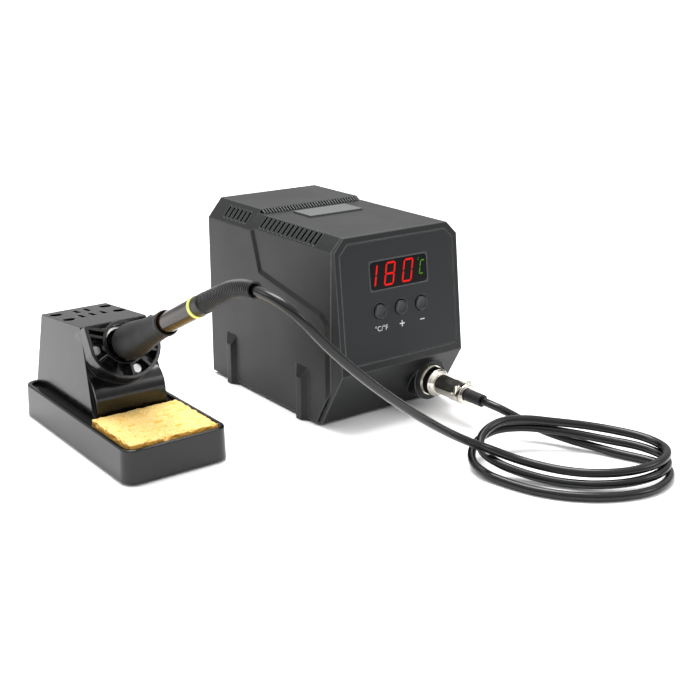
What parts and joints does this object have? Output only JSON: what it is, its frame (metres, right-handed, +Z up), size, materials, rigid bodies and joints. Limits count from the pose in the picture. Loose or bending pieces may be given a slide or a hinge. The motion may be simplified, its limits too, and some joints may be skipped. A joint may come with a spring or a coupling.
{
  "type": "soldering iron station",
  "caption": "Temperature-controlled soldering station: slanted power unit with a digit display, iron resting in a weighted stand with a sponge tray, and a coiled cord.",
  "frame": {"origin": "on the bench, at the bottom centre of the box round the power unit, the stand and the iron, without the cord", "axes": "+Z up; +Y from the front of the power unit to its back; +X to the right as seen from the front, from the stand to the power unit"},
  "size_m": [0.2585, 0.3155, 0.1276],
  "materials": {
    "case_abs": "fine moulded texture",
    "bezel_abs": "fine moulded texture",
    "fascia_film": "printed matte film",
    "window_acrylic": "smoked, polished",
    "button_abs": "satin",
    "circuit_board": "solder mask",
    "display_abs": "matte",
    "switch_abs": "matte",
    "nickel": "nickel plated",
    "contact_brass": "tinned",
    "insert_abs": "matte",
    "heat_shrink": "satin",
    "rear_panel_abs": "fine texture",
    "inlet_nylon": "moulded",
    "rocker_abs": "moulded",
    "fuse_glass": "clear",
    "screw_steel": "zinc plated",
    "foot_rubber": "matte",
    "core_steel": "laminated",
    "winding_copper": "enamelled wire",
    "heatsink_aluminium": "bare",
    "part_epoxy": "moulded",
    "badge_foil": "printed foil",
    "stand_abs": "polished",
    "ballast_iron": "raw",
    "funnel_steel": "stainless",
    "cellulose_sponge": "open pores",
    "grip_rubber": "matte",
    "handle_phenolic": "polished",
    "ring_abs": "satin",
    "barrel_steel": "stainless",
    "tip_iron": "plated",
    "heater_ceramic": "ceramic",
    "relief_rubber": "satin",
    "cord_silicone": "glossy jacket"
  },
  "bodies": {
    "station_and_stand": {"front_bezel": "bezel_abs", "housing_cover": "case_abs", "fascia_panel": "fascia_film", "display_window": "window_acrylic", "display_module": "display_abs", "control_board": "circuit_board", "tactile_switches": "switch_abs", "iron_socket": "nickel", "socket_lock_nut": "nickel", "socket_insert": "insert_abs", "socket_pins": "contact_brass", "plug_barrel": "nickel", "plug_insert": "insert_abs", "cord_clamp": "nickel", "clamp_screws": "screw_steel", "plug_sleeve": "heat_shrink", "rear_panel": "rear_panel_abs", "mains_inlet": "inlet_nylon", "inlet_pins": "contact_brass", "power_switch_frame": "rocker_abs", "fuse_holder": "inlet_nylon", "fuse": "fuse_glass", "rear_panel_screws": "screw_steel", "base_plate": "case_abs", "station_feet": "foot_rubber", "main_board": "circuit_board", "board_screws": "screw_steel", "transformer_core": "core_steel", "transformer_winding": "winding_copper", "heatsink": "heatsink_aluminium", "power_triac": "part_epoxy", "smoothing_capacitors": "part_epoxy", "top_badge": "badge_foil", "stand_base": "stand_abs", "stand_bottom_cover": "stand_abs", "ballast_weight": "ballast_iron", "stand_feet": "foot_rubber", "stand_tower": "stand_abs", "holder_plate": "stand_abs", "funnel_guard": "funnel_steel", "holder_screws": "screw_steel", "cord_lead": "cord_silicone", "cord_coil": "cord_silicone", "cord_tail": "cord_silicone"},
    "unit_button_body": {"unit_button": "button_abs"},
    "plus_button_body": {"plus_button": "button_abs"},
    "minus_button_body": {"minus_button": "button_abs"},
    "rocker_body": {"power_rocker": "rocker_abs"},
    "fuse_cap_body": {"fuse_cap": "inlet_nylon"},
    "nut_body": {"coupling_nut": "nickel"},
    "iron": {"grip": "grip_rubber", "iron_handle": "handle_phenolic", "colour_ring": "ring_abs", "barrel_nut": "barrel_steel", "barrel_sleeve": "barrel_steel", "iron_tip": "tip_iron", "heating_element": "heater_ceramic", "relief_collar": "handle_phenolic", "strain_relief": "relief_rubber"},
    "sponge_body": {"sponge": "cellulose_sponge"}
  },
  "joints": [
    {"name": "unit_button_press", "type": "slide", "parent": "station_and_stand", "child": "unit_button_body", "axis": [0, 0.9932, -0.1167], "range_m": [0, 0.0008], "stiffness_N_per_m": 250},
    {"name": "plus_button_press", "type": "slide", "parent": "station_and_stand", "child": "plus_button_body", "axis": [0, 0.9932, -0.1167], "range_m": [0, 0.0008], "stiffness_N_per_m": 250},
    {"name": "minus_button_press", "type": "slide", "parent": "station_and_stand", "child": "minus_button_body", "axis": [0, 0.9932, -0.1167], "range_m": [0, 0.0008], "stiffness_N_per_m": 250},
    {"name": "power_switch", "type": "hinge", "parent": "station_and_stand", "child": "rocker_body", "pos_m": [0.0925, 0.1055, 0.032], "axis": [1, 0, 0], "range_deg": [0, 15]},
    {"name": "fuse_cap_turn", "type": "hinge", "parent": "station_and_stand", "child": "fuse_cap_body", "pos_m": [0.0395, 0.108, 0.032], "axis": [0, 1, 0], "range_deg": [0, 90]},
    {"name": "coupling_nut_turn", "type": "hinge", "parent": "station_and_stand", "child": "nut_body", "pos_m": [0.093, -0.041, 0.0196], "axis": [0, 1, 0], "continuous": true},
    {"name": "iron_lift_out", "type": "slide", "parent": "station_and_stand", "child": "iron", "axis": [0, -0.8942, 0.4478], "range_m": [0, 0.085], "deforming": ["cord_lead"]},
    {"name": "sponge_lift_out", "type": "slide", "parent": "station_and_stand", "child": "sponge_body", "axis": [0, 0, 1], "range_m": [0, 0.014]}
  ]
}
